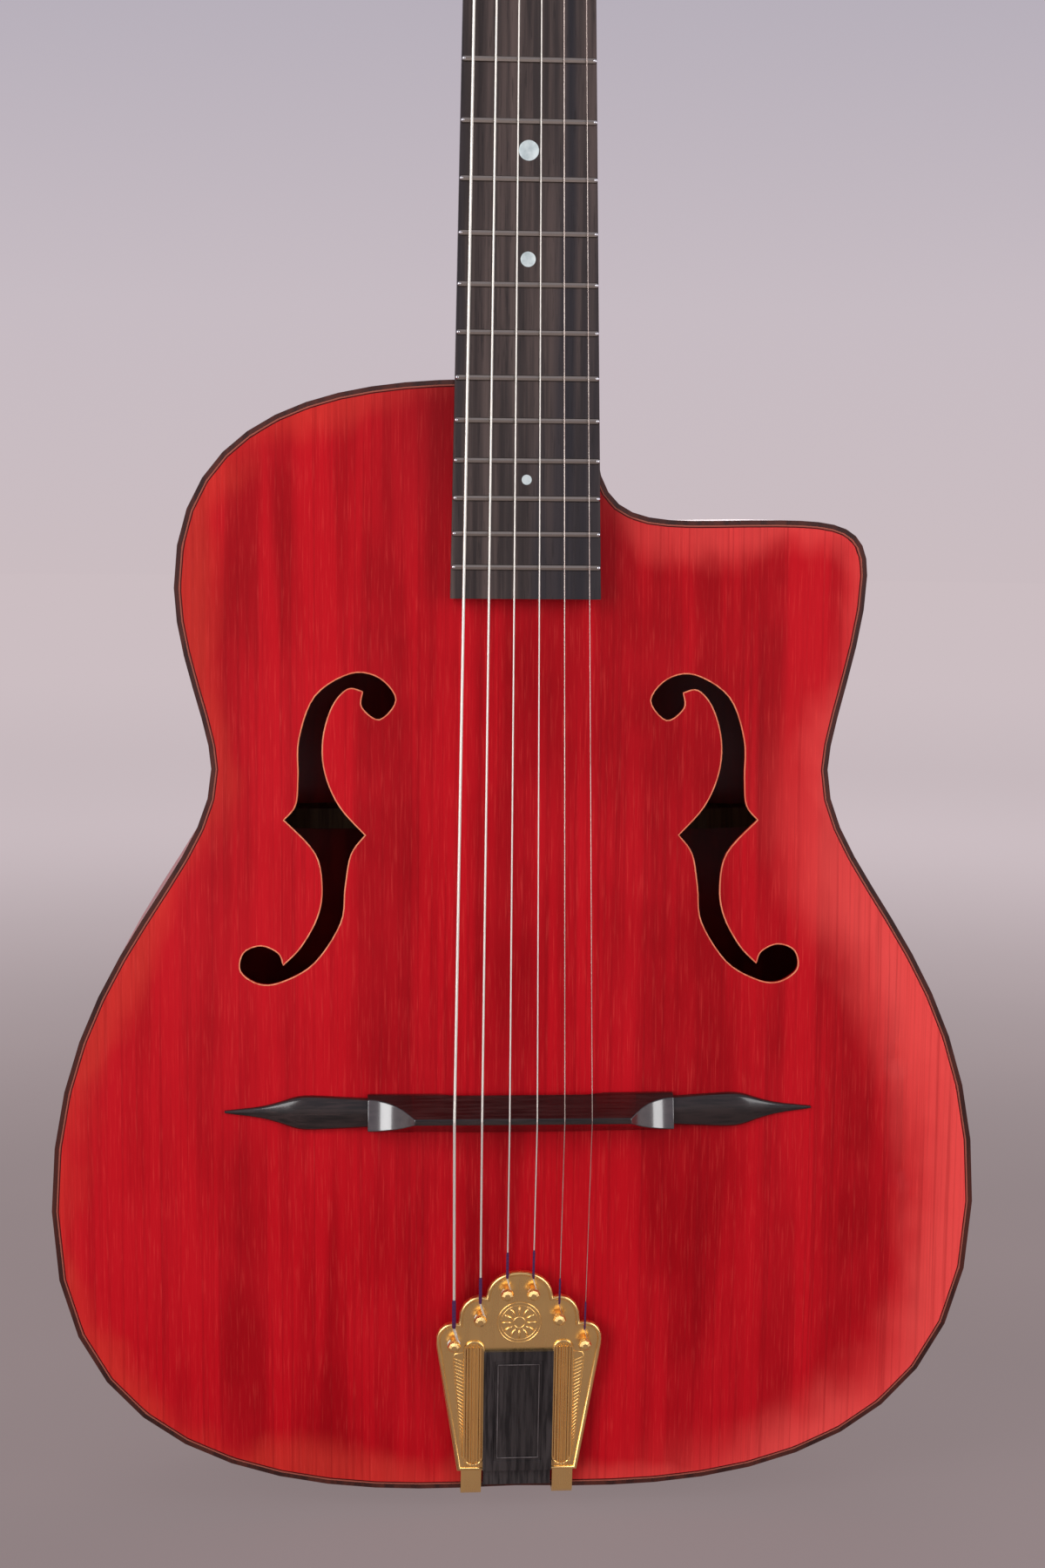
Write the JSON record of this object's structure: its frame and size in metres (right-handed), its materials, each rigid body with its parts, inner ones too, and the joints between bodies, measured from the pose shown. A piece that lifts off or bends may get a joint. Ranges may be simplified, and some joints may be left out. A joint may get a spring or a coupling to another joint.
{
  "type": "gypsy jazz guitar",
  "caption": "Cutaway gypsy jazz guitar with a domed red top, f-shaped sound holes, a floating bridge, a brass tailpiece and a slotted head with worm tuners.",
  "frame": {"origin": "middle of the body's tail end, halfway through the depth of the ribs, where a stand's cradle carries it", "axes": "+Z from the tail to the head, -Y out of the soundboard, +X to the treble side"},
  "size_m": [0.386, 0.1355, 1.0113],
  "materials": {
    "red_spruce": "gloss red burst lacquer over spruce",
    "red_maple": "gloss red lacquer over maple",
    "dark_rosewood": "gloss dark brown with two thin lines",
    "bare_spruce": "bare sanded spruce",
    "mahogany": "satin lacquered mahogany",
    "duralumin": "drawn bar",
    "ebony": "polished ebony",
    "bone": "polished bone",
    "steel": "bright plain and wound steel",
    "brass": "polished brass",
    "button_pearl": "cream pearl-look plastic"
  },
  "bodies": {
    "guitar": {"soundboard": "red_spruce", "back_plate": "red_maple", "rib_treble": "red_maple", "rib_bass": "red_maple", "top_binding": "dark_rosewood", "back_binding": "dark_rosewood", "lining_top_treble": "bare_spruce", "lining_top_bass": "bare_spruce", "lining_back_treble": "bare_spruce", "lining_back_bass": "bare_spruce", "neck_block": "mahogany", "tail_block": "mahogany", "soundboard_brace_1": "bare_spruce", "soundboard_brace_2": "bare_spruce", "soundboard_brace_3": "bare_spruce", "soundboard_brace_4": "bare_spruce", "soundboard_brace_5": "bare_spruce", "back_brace_1": "bare_spruce", "back_brace_2": "bare_spruce", "back_brace_3": "bare_spruce", "back_brace_4": "bare_spruce", "neck": "mahogany", "neck_bar": "duralumin", "heel_cap": "ebony", "head_plate": "ebony", "fingerboard": "ebony", "nut": "bone", "string_6": "steel", "string_5": "steel", "string_4": "steel", "string_3": "steel", "string_2": "steel", "string_1": "steel", "tuner_plate_bass": "brass", "tuner_plate_treble": "brass", "bridge": "ebony", "moustache_bass": "ebony", "moustache_treble": "ebony", "tailpiece": "brass", "tailpiece_inlay": "ebony", "tailpiece_pad": "ebony", "end_pin": "ebony"},
    "knob_6": {"worm_shaft_6": "brass", "tuner_button_6": "button_pearl"},
    "post_6": {"string_post_6": "steel"},
    "knob_5": {"worm_shaft_5": "brass", "tuner_button_5": "button_pearl"},
    "post_5": {"string_post_5": "steel"},
    "knob_4": {"worm_shaft_4": "brass", "tuner_button_4": "button_pearl"},
    "post_4": {"string_post_4": "steel"},
    "knob_3": {"worm_shaft_3": "brass", "tuner_button_3": "button_pearl"},
    "post_3": {"string_post_3": "steel"},
    "knob_2": {"worm_shaft_2": "brass", "tuner_button_2": "button_pearl"},
    "post_2": {"string_post_2": "steel"},
    "knob_1": {"worm_shaft_1": "brass", "tuner_button_1": "button_pearl"},
    "post_1": {"string_post_1": "steel"}
  },
  "joints": [
    {"name": "tuner_knob_6", "type": "hinge", "parent": "guitar", "child": "knob_6", "pos_m": [-0.03605, -0.0229, 0.86773], "axis": [0, -0.9611, 0.2761], "continuous": true},
    {"name": "string_post_turn_6", "type": "hinge", "parent": "guitar", "child": "post_6", "pos_m": [-0.03605, -0.02047, 0.87618], "axis": [-1, 0, 0], "continuous": true},
    {"name": "tuner_knob_5", "type": "hinge", "parent": "guitar", "child": "knob_5", "pos_m": [-0.03605, -0.01324, 0.90136], "axis": [0, -0.9611, 0.2761], "continuous": true},
    {"name": "string_post_turn_5", "type": "hinge", "parent": "guitar", "child": "post_5", "pos_m": [-0.03605, -0.01081, 0.90982], "axis": [-1, 0, 0], "continuous": true},
    {"name": "tuner_knob_4", "type": "hinge", "parent": "guitar", "child": "knob_4", "pos_m": [-0.03605, -0.00357, 0.935], "axis": [0, -0.9611, 0.2761], "continuous": true},
    {"name": "string_post_turn_4", "type": "hinge", "parent": "guitar", "child": "post_4", "pos_m": [-0.03605, -0.00114, 0.94346], "axis": [-1, 0, 0], "continuous": true},
    {"name": "tuner_knob_3", "type": "hinge", "parent": "guitar", "child": "knob_3", "pos_m": [0.03605, -0.00357, 0.935], "axis": [0, -0.9611, 0.2761], "continuous": true},
    {"name": "string_post_turn_3", "type": "hinge", "parent": "guitar", "child": "post_3", "pos_m": [0.03605, -0.00114, 0.94346], "axis": [1, 0, 0], "continuous": true},
    {"name": "tuner_knob_2", "type": "hinge", "parent": "guitar", "child": "knob_2", "pos_m": [0.03605, -0.01324, 0.90136], "axis": [0, -0.9611, 0.2761], "continuous": true},
    {"name": "string_post_turn_2", "type": "hinge", "parent": "guitar", "child": "post_2", "pos_m": [0.03605, -0.01081, 0.90982], "axis": [1, 0, 0], "continuous": true},
    {"name": "tuner_knob_1", "type": "hinge", "parent": "guitar", "child": "knob_1", "pos_m": [0.03605, -0.0229, 0.86773], "axis": [0, -0.9611, 0.2761], "continuous": true},
    {"name": "string_post_turn_1", "type": "hinge", "parent": "guitar", "child": "post_1", "pos_m": [0.03605, -0.02047, 0.87618], "axis": [1, 0, 0], "continuous": true}
  ],
  "couplings": [
    {"joint": "string_post_turn_6", "follows": "tuner_knob_6", "ratio": 0.071429},
    {"joint": "string_post_turn_5", "follows": "tuner_knob_5", "ratio": 0.071429},
    {"joint": "string_post_turn_4", "follows": "tuner_knob_4", "ratio": 0.071429},
    {"joint": "string_post_turn_3", "follows": "tuner_knob_3", "ratio": -0.071429},
    {"joint": "string_post_turn_2", "follows": "tuner_knob_2", "ratio": -0.071429},
    {"joint": "string_post_turn_1", "follows": "tuner_knob_1", "ratio": -0.071429}
  ]
}
